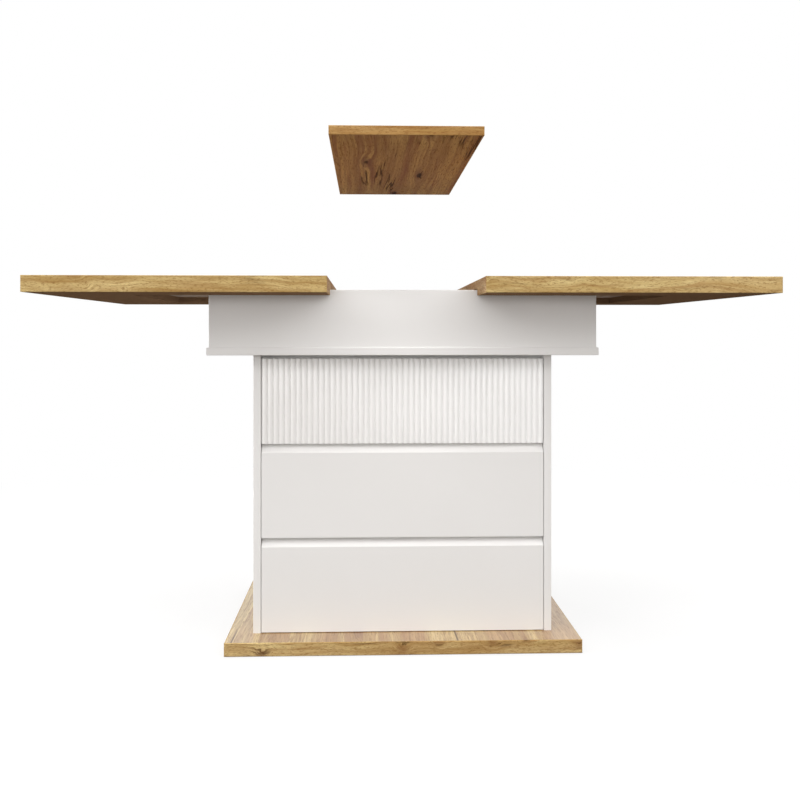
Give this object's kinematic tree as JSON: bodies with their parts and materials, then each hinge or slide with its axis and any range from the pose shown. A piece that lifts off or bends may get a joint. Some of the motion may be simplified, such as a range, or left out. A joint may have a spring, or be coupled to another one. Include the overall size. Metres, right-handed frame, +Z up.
{
  "type": "extending dining table",
  "caption": "Dining table whose oak top halves slide apart for a lift-in leaf, on a white drawer pedestal with a reeded drawer front and an oak base plate.",
  "frame": {"origin": "on the floor under the middle of the table", "axes": "+X along the table to the right as seen from the drawers, +Y to its back, +Z up; the drawers open towards -Y"},
  "size_m": [1.465, 0.8, 1.058],
  "materials": {
    "oak": "matt, knotty golden oak grain",
    "oak_edge_band": "matt printed band, oak grain along the edge",
    "white_lacquer": "satin white lacquer on board",
    "drawer_board": "matt white coated board",
    "drawer_base_board": "white coated hardboard",
    "beech": "planed, waxed beech",
    "runner_steel": "galvanised sheet",
    "zinc_steel": "zinc plated",
    "slip_plastic": "matt moulded"
  },
  "bodies": {
    "pedestal": {"base_plate": "oak", "base_edge_bands": "oak_edge_band", "base_glides": "slip_plastic", "base_screws": "zinc_steel", "cabinet_left_side": "white_lacquer", "cabinet_right_side": "white_lacquer", "cabinet_back": "white_lacquer", "cabinet_top_rail": "white_lacquer", "cabinet_dividers": "white_lacquer", "apron_floor": "white_lacquer", "floor_screws": "zinc_steel", "apron_front": "white_lacquer", "apron_rear": "white_lacquer", "apron_left_end": "white_lacquer", "apron_right_end": "white_lacquer", "apron_corner_blocks": "beech", "apron_pads": "slip_plastic", "front_guide_rail": "beech", "rear_guide_rail": "beech", "top_drawer_tracks": "runner_steel", "middle_drawer_tracks": "runner_steel", "bottom_drawer_tracks": "runner_steel"},
    "left_half": {"left_board": "oak", "left_front_strip": "oak", "left_rear_strip": "oak", "left_end_strip": "oak", "left_edge_bands": "oak_edge_band", "left_front_runner": "beech", "left_rear_runner": "beech", "left_runner_screws": "zinc_steel"},
    "right_half": {"right_board": "oak", "right_front_strip": "oak", "right_rear_strip": "oak", "right_end_strip": "oak", "right_edge_bands": "oak_edge_band", "right_front_runner": "beech", "right_rear_runner": "beech", "right_runner_screws": "zinc_steel"},
    "leaf": {"leaf_board": "oak", "leaf_edge_bands": "oak_edge_band"},
    "top_drawer": {"top_drawer_front": "white_lacquer", "top_drawer_left_side": "drawer_board", "top_drawer_right_side": "drawer_board", "top_drawer_back": "drawer_board", "top_drawer_base": "drawer_base_board", "top_drawer_slides": "runner_steel"},
    "middle_drawer": {"middle_drawer_front": "white_lacquer", "middle_drawer_left_side": "drawer_board", "middle_drawer_right_side": "drawer_board", "middle_drawer_back": "drawer_board", "middle_drawer_base": "drawer_base_board", "middle_drawer_slides": "runner_steel"},
    "bottom_drawer": {"bottom_drawer_front": "white_lacquer", "bottom_drawer_left_side": "drawer_board", "bottom_drawer_right_side": "drawer_board", "bottom_drawer_back": "drawer_board", "bottom_drawer_base": "drawer_base_board", "bottom_drawer_slides": "runner_steel"}
  },
  "joints": [
    {"name": "left_half_slide", "type": "slide", "parent": "pedestal", "child": "left_half", "axis": [1, 0, 0], "range_m": [0, 0.1522]},
    {"name": "right_half_slide", "type": "slide", "parent": "pedestal", "child": "right_half", "axis": [-1, 0, 0], "range_m": [0, 0.1522]},
    {"name": "leaf_lift", "type": "slide", "parent": "pedestal", "child": "leaf", "axis": [0, 0, 1], "range_m": [-0.288, 0]},
    {"name": "top_drawer_slide", "type": "slide", "parent": "pedestal", "child": "top_drawer", "axis": [0, -1, 0], "range_m": [0, 0.28]},
    {"name": "middle_drawer_slide", "type": "slide", "parent": "pedestal", "child": "middle_drawer", "axis": [0, -1, 0], "range_m": [0, 0.28]},
    {"name": "bottom_drawer_slide", "type": "slide", "parent": "pedestal", "child": "bottom_drawer", "axis": [0, -1, 0], "range_m": [0, 0.28]}
  ]
}
